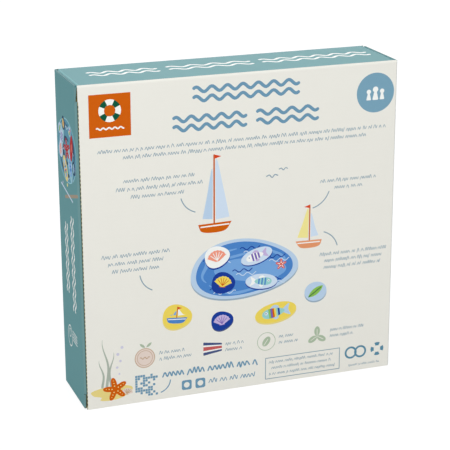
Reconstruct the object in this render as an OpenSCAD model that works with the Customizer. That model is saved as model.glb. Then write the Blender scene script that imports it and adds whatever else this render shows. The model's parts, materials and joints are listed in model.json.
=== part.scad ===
// Printed game carton in fine fluted board. One flat glued sleeve stands on its long side, and a
// tuck-in closure swings at each end, the left one hinged on the front panel and the right one
// on the back panel. Millimetres, +Z up, the back panel faces -Y, and the origin is at the
// middle of the bottom.

/* [Carton] */
// Width, over both closures
box_w = 252; // [180:1:350]
// Height as it stands
box_h = 250; // [180:1:350]
// Depth, over the back and front panels
box_d = 61.5; // [45:0.5:90]

/* [Board] */
// Thickness of the fluted board
board_t = 1.5; // [1.2:0.1:2]
// Inside radius of every fold
fold_r = 0.3; // [0.2:0.1:0.6]

/* [Closures] */
// How far the tuck reaches in from the closure's outer face
tuck_reach = 17; // [12:1:24]
// Height of the shoulder cut away above and below the tuck
shoulder_h = 12; // [8:1:20]
// Radius of the shoulder's corner
shoulder_r = 1; // [0.5:0.5:6]
// Gap between a shoulder's edge and the panel beside it
shoulder_play = 0.5; // [0.3:0.1:1]
// Radius of the tuck's two corners
tuck_r = 10; // [4:1:16]
// Gap between the tuck and the panel that it slides behind
tuck_play = 0.3; // [0.2:0.1:0.6]
// Gap of each closure from the floor and from the top
end_play = 0.4; // [0.2:0.1:1.5]

/* [Dust flaps] */
// Length of a dust flap, from the carton's outer face
flap_l = 50; // [35:1:80]
// How much a flap's sides lean in towards its tip
flap_taper = 3; // [0:0.5:8]
// Radius of the flap's tip corners
flap_r = 6; // [2:1:12]
// Gap between a dust flap and the closure that covers it
flap_play = 0.3; // [0.2:0.1:0.6]
// Gap between a dust flap's sides and the panels beside it
side_play = 0.5; // [0.3:0.1:1]
// Gap between a dust flap and the tuck that passes it
pass_play = 0.9; // [0.5:0.1:2]

/* [Glue flap] */
// Height of the glue flap inside the back panel
glue_h = 15; // [8:1:25]
// Height that is left of the glue flap at its two ends
glue_end_h = 4; // [3:0.5:6]
// Length of the glue flap's slanted ends
glue_slant = 20; // [18:1:40]

/* [Flutes] */
// Distance from one flute to the next
flute_pitch = 3.2; // [2.8:0.1:4]
// Thickness of the two flat liners
liner_t = 0.28; // [0.2:0.02:0.35]
// Thickness of the wavy sheet between them
wave_t = 0.2; // [0.15:0.01:0.25]
// Width of the wavy sheet's flat where it is glued to a liner
crest_w = 0.5; // [0.3:0.1:0.8]

/* [Hidden] */

paper_cream = [0.90, 0.90, 0.87];
ink_teal = [0.42, 0.60, 0.62];

// Flat facets in a quarter turn of a fold, an even number so that a fold splits at its middle
fold_steps = 8;
// Flat facets along the curled tuck
curl_steps = 8;
// Flat facets in a rounded die-cut corner
corner_steps = 6;
// Overlap that joins shapes of one sheet into one solid
weld = 0.01;
// Width of the cut that frees a flat shoulder from the tuck folded beside it
slit = 0.2;

half_w = box_w / 2;
half_d = box_d / 2;
// Outside radius of a fold
fold_out = board_t + fold_r;
// Where the back panel's left edge and the front panel's right edge are cut
raw_x = half_w - board_t;
// Where the top and bottom panels start to fold into the dust flaps
crease_x = half_w - board_t - flap_play - fold_out;
// The back panel's inner face
seam_y = -half_d + board_t;

// A closure turns about the middle of its fold's outer face, this far in from the two faces
hinge_in = fold_out * (1 - cos(45));
hinge = [-half_w + hinge_in, half_d - hinge_in];
// The curled tuck's outer face is a circle about the hinge, just clear of the back panel
curl_r = box_d - hinge_in - board_t - tuck_play;
// Centre of the fold between the closure's panel and its tuck
tuck_fold_x = -half_w + fold_out;
tuck_fold_y = hinge.y - sqrt(pow(curl_r - fold_out, 2) - pow(tuck_fold_x - hinge.x, 2));
// Direction from the hinge to the place where that fold runs into the curl
curl_start = atan2(tuck_fold_y - hinge.y, tuck_fold_x - hinge.x);
// The curl runs a little past the tuck's cut end
curl_end = -90 + asin((tuck_reach + board_t) / curl_r);
tuck_end_x = -half_w + tuck_reach;
// The shoulders stand past the tuck's fold, almost up to the panel that the tuck slides behind
shoulder_y = seam_y + shoulder_play;
shoulder_end = shoulder_h - slit;

// The tuck's outer corner of its cut end, seen from the hinge
tuck_end_a = -90 + asin((tuck_reach - hinge_in) / curl_r);

// The flutes are open at every edge that is cut across them, and crushed shut at the creases
mouth_depth = fold_out + flap_play - liner_t;
// The mouths' cutters reach this far out of the edge
mouth_out = board_t / 2;
// A cut edge has no mouth this close to the carton's corners
mouth_margin = 2.5;

// The tuck's inner face at the dust flap, and the flap's side that stays clear of it
flap_tuck_y = -half_d + 2 * board_t + tuck_play + pass_play;
flap_side_y = half_d - board_t - side_play;
// The flap keeps its full width only beside the closure's shoulder
flap_step_h = shoulder_h - 1.5;

function polar(r, a) = r * [cos(a), sin(a)];

// Points of an arc about c, from angle a0 to a1
function arc(c, r, a0, a1, steps) =
    [for (i = [0:steps]) c + polar(r, a0 + (a1 - a0) * i / steps)];

function unit(v) = v / norm(v);

// A turn from one angle to another by the shorter way round
function short_turn(a) = a > 180 ? a - 360 : a < -180 ? a + 360 : a;

// A corner p between its neighbours a and b, rounded to radius r
function corner(a, p, b, r) =
    r <= 0 ? [p] :
    let (
        u = unit(a - p),
        v = unit(b - p),
        half = acos(u * v) / 2,
        c = p + unit(u + v) * r / sin(half),
        s = p + u * r / tan(half) - c,
        e = p + v * r / tan(half) - c,
        a0 = atan2(s.y, s.x),
        turn = short_turn(atan2(e.y, e.x) - a0)
    )
    arc(c, r, a0, a0 + turn, corner_steps);

// A closed outline from corners that are each [x, y, radius]
function outline(p) = [
    for (i = [0:len(p) - 1])
        let (
            a = p[(i + len(p) - 1) % len(p)],
            b = p[(i + 1) % len(p)]
        )
        each corner([a.x, a.y], [p[i].x, p[i].y], [b.x, b.y], p[i].z)
];

// Lays a profile drawn in Y and Z along X
module along_x(x0, x1) {
    translate([x0, 0, 0]) rotate([90, 0, 90]) linear_extrude(x1 - x0) children();
}

// Lays a profile drawn in X and Z along Y
module along_y(y0, y1) {
    translate([0, y1, 0]) rotate([90, 0, 0]) linear_extrude(y1 - y0) children();
}

// Raises a plan drawn in X and Y
module along_z(z0, z1) {
    translate([0, 0, z0]) linear_extrude(z1 - z0) children();
}

// Half a wave's hollow: wide on one liner, and as wide as a crest where the sheet turns back
module hollow(x, on_outer) {
    wide = (flute_pitch - crest_w) / 2;
    y0 = on_outer ? liner_t : board_t - liner_t;
    y1 = on_outer ? board_t - liner_t - wave_t : liner_t + wave_t;
    polygon([[x - wide, y0], [x + wide, y0], [x + crest_w / 2, y1], [x - crest_w / 2, y1]]);
}

// A row of flute mouths along X. The board's outer face is Y = 0 and its cut edge is Z = 0
module flute_row(run) {
    waves = floor(run / flute_pitch - 0.5);
    first = (run - waves * flute_pitch) / 2 + flute_pitch / 4;
    translate([0, 0, -mouth_depth]) for (i = [0:waves - 1]) {
        linear_extrude(mouth_depth + mouth_out) hollow(first + i * flute_pitch, true);
        linear_extrude(mouth_depth + mouth_out) hollow(first + (i + 0.5) * flute_pitch, false);
    }
}

// The board between two arcs about c, one board thickness apart
module fold_section(c, a0, a1, steps) {
    polygon(concat(arc(c, fold_out, a0, a1, steps), arc(c, fold_r, a1, a0, steps)));
}

// Outer face of the sleeve, with the open seam under the back panel
function sleeve_outer() = concat(
    [[-half_d, 0], [seam_y, 0]],
    arc([seam_y + fold_out, fold_out], fold_out, 180, 270, fold_steps),
    arc([half_d - fold_out, fold_out], fold_out, 270, 360, fold_steps),
    arc([half_d - fold_out, box_h - fold_out], fold_out, 0, 90, fold_steps),
    arc([-half_d + fold_out, box_h - fold_out], fold_out, 90, 180, fold_steps)
);

// Inner face of the sleeve, round the low end of the glue flap
function sleeve_inner() = concat(
    [[seam_y, glue_end_h], [seam_y + board_t, glue_end_h]],
    arc([seam_y + fold_out, fold_out], fold_r, 180, 270, fold_steps),
    arc([half_d - fold_out, fold_out], fold_r, 270, 360, fold_steps),
    arc([half_d - fold_out, box_h - fold_out], fold_r, 0, 90, fold_steps),
    arc([-half_d + fold_out, box_h - fold_out], fold_r, 90, 180, fold_steps)
);

// The back panel's edge strip, from the top fold down to its raw lower edge
function back_strip() = concat(
    [[-half_d, 0], [seam_y, 0], [seam_y, box_h]],
    [for (p = arc([-half_d + fold_out, box_h - fold_out], fold_out, 90, 180, fold_steps))
        if (p.x < seam_y) p]
);

// The front panel's edge strip, between its two folds
function front_strip() = concat(
    [for (p = arc([half_d - fold_out, fold_out], fold_out, 270, 360, fold_steps))
        if (p.x > half_d - board_t) p],
    [for (p = arc([half_d - fold_out, box_h - fold_out], fold_out, 0, 90, fold_steps))
        if (p.x > half_d - board_t) p],
    [[half_d - board_t, box_h], [half_d - board_t, 0]]
);

// The four panels and the three folds between them
module sleeve() {
    along_x(-crease_x, crease_x) difference() {
        polygon(sleeve_outer());
        polygon(sleeve_inner());
    }
}

// Half of the fold that a closure hangs on, with its panel, seen from above at the left end
module hinge_plan() {
    c = [-half_w + fold_out, half_d - fold_out];
    polygon(concat(
        [[-crease_x + weld, half_d - board_t], [-crease_x + weld, half_d]],
        arc(c, fold_out, 90, 135, fold_steps / 2),
        arc(c, fold_r, 135, 90, fold_steps / 2)
    ));
}

// The flutes' mouths in the back panel's raw left end
module raw_end_mouths() {
    translate([-raw_x, -half_d, mouth_margin])
        rotate([0, -90, 0]) flute_row(box_h - 2 * mouth_margin);
}

// The back and front panels beyond the creases: a raw cut at one end, half a hinge at the other
module panel_ends() {
    difference() {
        along_x(-raw_x, -crease_x + weld) polygon(back_strip());
        raw_end_mouths();
    }
    difference() {
        along_x(crease_x - weld, raw_x) polygon(front_strip());
        rotate([0, 0, 180]) raw_end_mouths();
    }
    intersection() {
        union() {
            along_z(0, box_h) hinge_plan();
            rotate([0, 0, 180]) along_z(0, box_h) hinge_plan();
        }
        along_x(-half_w, half_w) polygon(sleeve_outer());
    }
}

// One dust flap at the top left: its fold with a foot in the top panel, then a plate that clears the tuck
module dust_flap() {
    c = [-crease_x, box_h - fold_out];
    foot_x = -crease_x + weld;
    along_y(-flap_side_y, flap_side_y) polygon(concat(
        [[foot_x, box_h - board_t], [foot_x, box_h]],
        arc(c, fold_out, 90, 180, fold_steps),
        arc(c, fold_r, 180, 90, fold_steps)
    ));
    plate_x = -crease_x - fold_out;
    root_z = box_h - fold_out + weld;
    tip_z = box_h - flap_l;
    tip_y0 = flap_tuck_y + flap_taper;
    tip_y1 = flap_side_y - flap_taper;
    difference() {
        along_x(plate_x, plate_x + board_t) polygon(outline([
            [flap_side_y, root_z, 0],
            [-flap_side_y, root_z, 0],
            [-flap_side_y, box_h - flap_step_h + flap_tuck_y + flap_side_y, 1],
            [flap_tuck_y, box_h - flap_step_h, 1],
            [tip_y0, tip_z, flap_r],
            [tip_y1, tip_z, flap_r]
        ]));
        translate([plate_x, tip_y0 + flap_r, tip_z])
            rotate([180, 0, 90]) flute_row(tip_y1 - tip_y0 - 2 * flap_r);
    }
}

// All four: turned about Z for the right end, and mirrored for the bottom
module dust_flaps() {
    for (turn = [0, 180]) rotate([0, 0, turn]) {
        dust_flap();
        translate([0, 0, box_h]) mirror([0, 0, 1]) dust_flap();
    }
}

// The glue flap above its low ends, slanted to clear the tuck and the dust flap
module glue_flap() {
    foot = crease_x - weld;
    along_y(seam_y, seam_y + board_t) polygon([
        [-foot, glue_end_h - weld],
        [foot, glue_end_h - weld],
        [foot - glue_slant, glue_h],
        [-foot + glue_slant, glue_h]
    ]);
}

module carton_body() {
    color(paper_cream) union() {
        sleeve();
        panel_ends();
        dust_flaps();
        glue_flap();
    }
}

// The closure's half of its hinge fold
module closure_hinge() {
    c = [-half_w + fold_out, half_d - fold_out];
    along_z(end_play, box_h - end_play) fold_section(c, 135, 180, fold_steps / 2);
}

// The closure's panel, with a shoulder above and below the tuck that stays flat where the tuck folds
module closure_panel() {
    hinge_y = half_d - fold_out + weld;
    difference() {
        along_x(-half_w, -half_w + board_t) polygon(outline([
            [hinge_y, end_play, 0],
            [hinge_y, box_h - end_play, 0],
            [shoulder_y, box_h - end_play, shoulder_r],
            [shoulder_y, box_h - shoulder_end, 0],
            [tuck_fold_y, box_h - shoulder_end, 0],
            [tuck_fold_y, shoulder_end, 0],
            [shoulder_y, shoulder_end, 0],
            [shoulder_y, end_play, shoulder_r]
        ]));
        for (top = [shoulder_end, box_h - end_play - shoulder_r])
            translate([-half_w, shoulder_y, top])
                rotate([90, 90, 0]) flute_row(shoulder_end - end_play - shoulder_r);
    }
}

// The tuck: a fold, then a curl about the hinge, so that it slides out without catching
module closure_tuck() {
    c = [tuck_fold_x, tuck_fold_y];
    difference() {
        tuck_sheet(c);
        translate([hinge.x, hinge.y, box_h - shoulder_h - tuck_r])
            rotate([0, 0, tuck_end_a]) translate([curl_r, 0, 0])
                rotate([-90, 90, 0]) flute_row(box_h - 2 * (shoulder_h + tuck_r));
    }
}

// The tuck's bent sheet about the centre of its fold, cut to its outline
module tuck_sheet(c) {
    intersection() {
        along_z(0, box_h) polygon(concat(
            [[-half_w, tuck_fold_y + weld]],
            arc(c, fold_out, 180, 360 + curl_start, fold_steps),
            arc(hinge, curl_r, curl_start, curl_end, curl_steps),
            arc(hinge, curl_r - board_t, curl_end, curl_start, curl_steps),
            arc(c, fold_r, 360 + curl_start, 180, fold_steps),
            [[-half_w + board_t, tuck_fold_y + weld]]
        ));
        along_y(-half_d, half_d) polygon(outline([
            [-half_w - 1, shoulder_h, 0],
            [tuck_end_x, shoulder_h, tuck_r],
            [tuck_end_x, box_h - shoulder_h, tuck_r],
            [-half_w - 1, box_h - shoulder_h, 0]
        ]));
    }
}

module left_closure() {
    color(ink_teal) union() {
        closure_hinge();
        closure_panel();
        closure_tuck();
    }
}

module right_closure() {
    rotate([0, 0, 180]) left_closure();
}

carton_body();
left_closure();
right_closure();
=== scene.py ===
"""Looks of a printed game carton of fine fluted board.

The board's three solids stay as they are, in raw kraft. Their printed outer liner is added as thin folded
sheets: each is drawn flat in millimetres, cut into triangles along its outline, creases and ink edges, and
then folded round the board. Each print is a plain design of waves, boats, fish and shells.
"""

import json
import math
from functools import partial

import bpy
import numpy as np
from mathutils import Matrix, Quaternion, Vector
from mathutils.geometry import delaunay_2d_cdt


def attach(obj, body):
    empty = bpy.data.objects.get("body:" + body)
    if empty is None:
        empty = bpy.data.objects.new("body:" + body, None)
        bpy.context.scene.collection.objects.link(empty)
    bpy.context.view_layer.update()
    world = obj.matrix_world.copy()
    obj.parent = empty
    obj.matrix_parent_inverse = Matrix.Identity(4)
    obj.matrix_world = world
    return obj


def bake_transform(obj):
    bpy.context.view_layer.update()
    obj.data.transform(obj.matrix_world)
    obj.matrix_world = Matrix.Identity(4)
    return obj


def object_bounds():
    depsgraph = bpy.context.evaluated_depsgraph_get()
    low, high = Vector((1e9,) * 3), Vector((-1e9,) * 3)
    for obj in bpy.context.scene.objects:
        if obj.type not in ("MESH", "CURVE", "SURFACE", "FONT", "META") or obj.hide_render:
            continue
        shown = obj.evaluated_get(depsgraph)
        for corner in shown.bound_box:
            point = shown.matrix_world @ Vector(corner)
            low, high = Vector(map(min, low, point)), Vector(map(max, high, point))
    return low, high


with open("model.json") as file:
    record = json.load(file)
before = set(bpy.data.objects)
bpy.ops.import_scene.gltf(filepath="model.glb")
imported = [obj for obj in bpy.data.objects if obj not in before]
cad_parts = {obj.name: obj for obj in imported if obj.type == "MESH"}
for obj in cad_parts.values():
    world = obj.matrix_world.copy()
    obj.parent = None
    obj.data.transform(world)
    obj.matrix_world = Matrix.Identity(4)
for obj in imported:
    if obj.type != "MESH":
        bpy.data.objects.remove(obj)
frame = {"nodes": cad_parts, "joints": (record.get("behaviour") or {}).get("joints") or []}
cad_low, cad_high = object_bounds()

# Sizes in millimetres, as the board's solids have them
MM = 0.001
WIDE, DEEP, HIGH = (round(side / MM, 3) for side in cad_high - cad_low)
HALF_W = WIDE / 2
HALF_D = DEEP / 2
BOARD = 1.5
FOLD = BOARD + 0.3
FLAP_PLAY = 0.3
SIDE_PLAY = 0.5
PASS_PLAY = 0.9
TUCK_PLAY = 0.3
END_PLAY = 0.4
TUCK_REACH = 17
TUCK_R = 10
SHOULDER_H = 12
SHOULDER_R = 1
SHOULDER_PLAY = 0.5
SLIT = 0.2
FLAP_L = 50
FLAP_TAPER = 3
FLAP_R = 6
FLAP_STEP_H = SHOULDER_H - 1.5
FLUTE = 3.2
# The flutes that are open along a raw edge, which starts this far from the corner
MOUTH_MARGIN = 2.5
FLUTES = math.floor((HIGH - 2 * MOUTH_MARGIN) / FLUTE - 0.5)

QUARTER = math.pi / 2
RAW_X = HALF_W - BOARD
CREASE_X = HALF_W - BOARD - FLAP_PLAY - FOLD
HINGE_X = HALF_W - FOLD
QUARTER_RUN = FOLD * QUARTER
# The left closure's hinge axis, in plan
AXIS_X, AXIS_Y = (c / MM for c in frame["joints"][0]["pos_m"][:2])

# The printed liner stands this far out of the board's solid, and reaches this far into it
PROUD = 0.06
LINER = 0.25
# How far the liner's cut edges stand past the board's
OVERCUT = 0.02
FOLD_STEPS = 8
# Points of a sheet that are nearer than this are one
SAME_POINT = 1e-5
# The liner is rolled over the closures' upper and lower cut edges
ROLL = 0.12
ROLL_REACH = 1.45
ROLL_STEPS = 3

# Inks, as sRGB values from 0 to 255
INKS = {
    "paper": (240, 236, 224), "bared board": (186, 186, 146), "flute shadow": (70, 72, 42),
    # Of the teals, a lighter one is painted sheen on the closures' tuck folds, a paler one is painted
    # highlight on the flaps' folds and inside the closures' upper corners, and a darker one is painted
    # shade on the closures' rolled edges and shoulder ends
    "cream": (235, 234, 226), "teal": (94, 149, 154), "sheen teal": (110, 151, 154),
    "highlight teal": (134, 184, 188), "shaded teal": (74, 127, 133), "white": (244, 246, 243),
    "title blue": (106, 150, 177), "badge blue": (120, 162, 184), "text blue": (128, 156, 172),
    "orange": (205, 93, 0), "rust": (196, 98, 48), "tan": (226, 150, 106), "red": (214, 66, 30),
    "forest": (0, 84, 58), "pale blue": (184, 208, 232), "sky": (205, 222, 240), "blue": (74, 131, 200),
    "light blue": (116, 165, 220), "deep blue": (20, 58, 150), "lagoon": (84, 148, 172),
    "petrol": (4, 60, 92), "mist": (150, 200, 214), "crimson": (176, 8, 16), "buff": (160, 146, 128),
    "aqua": (150, 208, 206), "yellow": (238, 214, 92), "pale yellow": (240, 230, 150),
    "sand": (230, 212, 134), "pink": (240, 152, 128), "lilac": (196, 178, 220),
    "violet": (118, 96, 178), "green": (138, 190, 84), "moss": (168, 178, 166),
    "bubble": (204, 202, 222), "peach": (226, 210, 200), "bark": (190, 160, 130),
    "dull red": (196, 92, 92), "navy": (70, 84, 128), "leaf": (170, 188, 162), "slate": (86, 138, 162),
    "grey blue": (150, 172, 190),
}


KRAFT = (172, 148, 102)
# Painted shade deep in the flutes' mouths and in other narrow hollows of the raw board
FLUTE_SHADE = (34, 30, 14)
# Kraft at the cut edges beside the closures, darkened to a grey-brown as painted shade
CUT_EDGE_SHADE = (112, 106, 66)
# The share of ink that is rubbed off a carton edge at its worst specks, as wear and as painted highlight
RUB_AND_HIGHLIGHT = 0.12
# A relief of one in the materials, in metres
RELIEF_UNIT = 0.00001


def columns(*parts):
    """Rows of points from their parts, one array for each direction."""
    return np.column_stack(parts)


def linear(srgb):
    """Scene-linear colour of sRGB values from 0 to 255: a power of 2.4, with a straight foot."""
    c = np.asarray(srgb, float) / 255
    return np.where(c <= 0.04045, c / 12.92, ((c + 0.055) / 1.055) ** 2.4)


def rgba(srgb):
    """The same colour with full alpha, for a socket."""
    return (*linear(srgb), 1.0)


def lay_path(start, heading, stretches):
    """A bent sheet's section as stretches of (length, bend). Bend is the turn to the right for each
    millimetre. A row holds a stretch's start along the path, its first point, its heading and its bend."""
    rows, s, point = [], 0.0, np.array(start, float)
    for length, bend in stretches:
        rows.append((s, *point, heading, bend))
        point = follow(np.array(rows), np.array([s + length]))[0][0]
        heading -= length * bend
        s += length
    return np.array(rows)


def follow(path, s):
    """Points at s along a path, and the way that faces out there, to the left of the heading. The heading
    turns evenly within a stretch, and a point is the sum of the headings up to it."""
    row = path[np.clip(np.searchsorted(path[:, 0], s, side="right") - 1, 0, len(path) - 1)]
    s0, x0, y0, heading, bend = row.T
    t = s - s0
    bent = np.abs(bend) > 1e-9
    k = np.where(bent, bend, 1.0)
    h = heading - bend * t
    x = x0 + np.where(bent, (np.sin(heading) - np.sin(h)) / k, np.cos(heading) * t)
    y = y0 + np.where(bent, (np.cos(h) - np.cos(heading)) / k, np.sin(heading) * t)
    return np.stack([x, y], 1), np.stack([-np.sin(h), np.cos(h)], 1)


# The sleeve's section in Y and Z: up the back, over the top, down the front, along the bottom and into
# the glue flap's fold
SLEEVE_RUNS = []
for straight in (HIGH - FOLD, DEEP - 2 * FOLD, HIGH - 2 * FOLD, DEEP - BOARD - 2 * FOLD):
    SLEEVE_RUNS += [(straight, 0), (QUARTER_RUN, 1 / FOLD)]
SLEEVE_PATH = lay_path((-HALF_D, 0), QUARTER, SLEEVE_RUNS)
SLEEVE_AT = SLEEVE_PATH[:, 0]
SLEEVE_END = SLEEVE_AT[-1] + QUARTER_RUN
TOP_V = SLEEVE_AT[2] + HALF_D - FOLD
FRONT_V = SLEEVE_AT[4] + HIGH - FOLD
BOTTOM_V = SLEEVE_AT[6] + HALF_D - FOLD
# The top's and the bottom's stretches, which the dust flaps hang on
FLAP_SPANS = (SLEEVE_AT[2], SLEEVE_AT[3]), (SLEEVE_AT[6], SLEEVE_AT[7])
# The strips beyond the creases keep only the board's thickness of a fold
STRIP_TURN = math.acos(1 - BOARD / FOLD)

# The left closure's plan in Y and X: half its hinge fold, the panel, a fold, and the curled tuck
CURL_R = DEEP - (HALF_D - AXIS_Y) - BOARD - TUCK_PLAY
TUCK_FOLD_Y = AXIS_Y - math.sqrt((CURL_R - FOLD) ** 2 - (HINGE_X + AXIS_X) ** 2)
CURL_FROM = math.asin((-HINGE_X - AXIS_X) / (CURL_R - FOLD))
CURL_TO = math.asin((TUCK_REACH - HALF_W - AXIS_X) / CURL_R)
HALF_FOLD_RUN = QUARTER_RUN / 2
PANEL_RUN = HALF_D - FOLD - TUCK_FOLD_Y
TUCK_FOLD_RUN = FOLD * (QUARTER + CURL_FROM)
CURL_RUN = CURL_R * (CURL_TO - CURL_FROM)
CLOSURE_RUNS = [
    (HALF_FOLD_RUN, 1 / FOLD),
    (PANEL_RUN, 0),
    (TUCK_FOLD_RUN, 1 / FOLD),
    (CURL_RUN + 1, 1 / CURL_R),
]
CLOSURE_PATH = lay_path((AXIS_Y, AXIS_X), math.radians(225), CLOSURE_RUNS)
CLOSURE_AT = CLOSURE_PATH[:, 0]
PANEL_END = CLOSURE_AT[2]
# The shoulders run straight on past the tuck's fold
SHOULDER_END = HALF_FOLD_RUN + DEEP - FOLD - BOARD - SHOULDER_PLAY
SHOULDER_CUT = SHOULDER_H - SLIT


def bend_over(point, out, way, past, turn, radius):
    """Bends a sheet over at its edge. Past the edge its way turns towards the board by past / radius, up
    to turn, and runs straight after that. Returns the way on, the way in, and the new outward side."""
    a = np.minimum(past / radius, turn)
    rest = np.maximum(past - radius * turn, 0)
    on = radius * np.sin(a) + rest * np.cos(turn)
    inward = radius * (1 - np.cos(a)) + rest * np.sin(turn)
    side = out * np.cos(a)[:, None] + way * np.sin(a)[:, None]
    return point + way * on[:, None] - out * inward[:, None], inward, side


def fold_sleeve(flat):
    """Carries the sleeve's flat points (u along X, v round the section) to their place. The top and
    bottom turn down a quarter at each end for the dust flaps. The back's right end and the front's left
    end turn an eighth, up to the hinge's mitre, and their other ends are cut off straight."""
    u, v = flat.T
    yz, out_yz = follow(SLEEVE_PATH, v)
    near = 0.1
    on_top = (v > SLEEVE_AT[2] - near) & (v < SLEEVE_AT[3] + near)
    flap = on_top | (v > SLEEVE_AT[6] - near)
    hinged = ~flap & ((v < TOP_V) == (u > 0))
    start = np.where(flap, CREASE_X, HINGE_X)
    turn = np.where(flap, QUARTER, np.where(hinged, QUARTER / 2, 0.0))
    past = np.maximum(np.abs(u) - start, 0)
    point = columns(np.sign(u) * np.minimum(np.abs(u), start), yz)
    out = columns(np.zeros_like(u), out_yz)
    way = columns(np.sign(u), np.zeros_like(u), np.zeros_like(u))
    moved, inward, side = bend_over(point, out, way, past, turn, FOLD)
    # In the corner where a hinge meets the top or bottom fold, the deeper of the two is the surface
    low = hinged & (HALF_D - np.abs(yz[:, 0]) > inward)
    moved[hinged, 1:] = yz[hinged]
    reach = np.minimum(np.abs(yz[:, 0]), HALF_D - inward)
    moved[hinged, 1] = (np.sign(yz[:, 0]) * reach)[hinged]
    side[low] = out[low]
    return moved, side


def fold_closure(flat):
    """Carries the left closure's flat points (s along its plan, z up) to their place. The shoulders stay
    flat, and past the shoulders' ends and the upper and lower edge the liner rolls over the cut board."""
    s, z = flat.T
    yx, out_yx = follow(CLOSURE_PATH, s)
    shoulder = (s > PANEL_END) & (np.abs(z - HIGH / 2) > HIGH / 2 - SHOULDER_H + SLIT / 2)
    flat_y = HALF_D - FOLD - (np.minimum(s, SHOULDER_END) - HALF_FOLD_RUN)
    yx[shoulder] = columns(flat_y, np.full_like(s, -HALF_W))[shoulder]
    out_yx[shoulder] = (0, -1)
    low, high = END_PLAY, HIGH - END_PLAY
    past = np.maximum(np.maximum(z - high, low - z), 0)
    nought = np.zeros_like(s)
    point = columns(yx[:, 1], yx[:, 0], np.clip(z, low, high))
    out = columns(out_yx[:, 1], out_yx[:, 0], nought)
    way = columns(nought, nought, np.sign(z - HIGH / 2))
    lap = shoulder & (s > SHOULDER_END)
    past[lap] = (s - SHOULDER_END)[lap]
    way[lap] = (0, -1, 0)
    moved, _, side = bend_over(point, out, way, past, np.full_like(s, QUARTER), ROLL)
    return moved, side


def half_turned(fold):
    """The same fold turned half round about Z, for the right closure."""
    half_turn = np.array([-1, -1, 1])

    def other_end(flat):
        point, side = fold(flat)
        return point * half_turn, side * half_turn

    return other_end


def corner(a, p, b, r, steps=6):
    """The points of corner p between its neighbours a and b, rounded to radius r: an arc about the point
    on the corner's bisector that is r from both sides."""
    a, p, b = (np.array(q[:2], float) for q in (a, p, b))
    if r <= 0:
        return p[None]
    u, v = (a - p) / np.linalg.norm(a - p), (b - p) / np.linalg.norm(b - p)
    half = math.acos(np.clip(u @ v, -1, 1)) / 2
    centre = p + (u + v) / np.linalg.norm(u + v) * r / math.sin(half)
    start = p + u * r / math.tan(half) - centre
    a0 = math.atan2(start[1], start[0])
    cross = u[0] * v[1] - u[1] * v[0]
    sweep = -math.copysign(math.pi - 2 * half, cross)
    angle = a0 + sweep * np.linspace(0, 1, steps + 1)
    return centre + r * around(angle)


def outline(*corners):
    """A closed outline from corners (x, y) or (x, y, radius)."""
    n = len(corners)
    radii = [c[2] if len(c) > 2 else 0 for c in corners]
    return np.concatenate(
        [corner(corners[i - 1], corners[i], corners[(i + 1) % n], radii[i]) for i in range(n)]
    )


def oval(x, y, rx, ry=None, turn=0.0, steps=28):
    """An ellipse, turned by an angle in degrees."""
    angle = np.linspace(0, 2 * math.pi, steps, endpoint=False)
    ry = rx if ry is None else ry
    return turned(around(angle, rx, ry), turn) + (x, y)


def around(angle, rx=1.0, ry=1.0):
    """Points of an ellipse about the origin at some angles in radians."""
    return columns(rx * np.cos(angle), ry * np.sin(angle))


def turned(points, degrees):
    """Points turned about the origin."""
    c, s = math.cos(math.radians(degrees)), math.sin(math.radians(degrees))
    return points @ np.array([[c, s], [-s, c]])


def lobed(rx, ry, lobes, depth, steps=60, shift=0.0):
    """A soft shape about the origin: an ellipse whose reach swells by depth, lobes times round it."""
    angle = np.linspace(0, 2 * math.pi, steps, endpoint=False)
    reach = 1 + depth * np.cos(lobes * angle + shift)
    return around(angle, rx * reach, ry * reach)


def smooth(points, steps=6, closed=False):
    """A Catmull-Rom curve through a few points: each stretch is a cubic of its four nearest points."""
    p = np.asarray(points, float)
    if closed:
        run = np.concatenate([p[-1:], p, p[:2]])
    else:
        run = np.concatenate([2 * p[:1] - p[1:2], p, 2 * p[-1:] - p[-2:-1]])
    a, b, c, d = (run[i : len(run) - 3 + i, None] for i in range(4))
    t = (np.arange(steps) / steps)[None, :, None]
    curve = b + t / 2 * (c - a + t * (2 * a - 5 * b + 4 * c - d + t * (3 * (b - c) + d - a)))
    curve = curve.reshape(-1, 2)
    return curve if closed else np.concatenate([curve, p[-1:]])


def ribbon(path, width, cap_steps=4):
    """A stroke along a path: the path moved half its width to both sides, with a half circle at each end.
    The width is one number, or one for each point."""
    path = np.asarray(path, float)
    along = np.gradient(path, axis=0)
    along /= np.linalg.norm(along, axis=1)[:, None]
    side = columns(-along[:, 1], along[:, 0])
    half = np.broadcast_to(np.asarray(width, float) / 2, len(path))[:, None]
    angle = np.linspace(0, math.pi, cap_steps + 2)[1:-1, None]
    head = path[-1] + half[-1] * (side[-1] * np.cos(angle) + along[-1] * np.sin(angle))
    tail = path[0] - half[0] * (side[0] * np.cos(angle) + along[0] * np.sin(angle))
    return np.concatenate([path + side * half, head, (path - side * half)[::-1], tail])


def box(x0, y0, x1, y1, r=0):
    """A box between two opposite corners, rounded to radius r."""
    return outline((x0, y0, r), (x1, y0, r), (x1, y1, r), (x0, y1, r))


def ring_part(x, y, outer, inner, a0, a1, steps=12):
    """Part of a flat ring between two angles in degrees."""
    angle = np.radians(np.linspace(a0, a1, steps))
    arc = around(angle)
    return np.concatenate([arc * outer, arc[::-1] * inner]) + (x, y)


def ring(ink, x, y, outer, inner):
    """A flat ring as two halves, which leaves what is inside it as it is."""
    return [(ink, ring_part(x, y, outer, inner, a, a + 180, 18)) for a in (0, 180)]


def placed(marks, x, y, turn=0.0, size=1.0, flip=False):
    """Marks scaled, turned and moved. A flipped one faces the other way."""
    scale = np.array([-size if flip else size, size])
    return [(ink, turned(shape * scale, turn) + (x, y)) for ink, shape in marks]


def laid_out(*rows):
    """The marks of several motifs, where each row is what placed() takes."""
    return [mark for row in rows for mark in placed(*row)]


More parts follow.
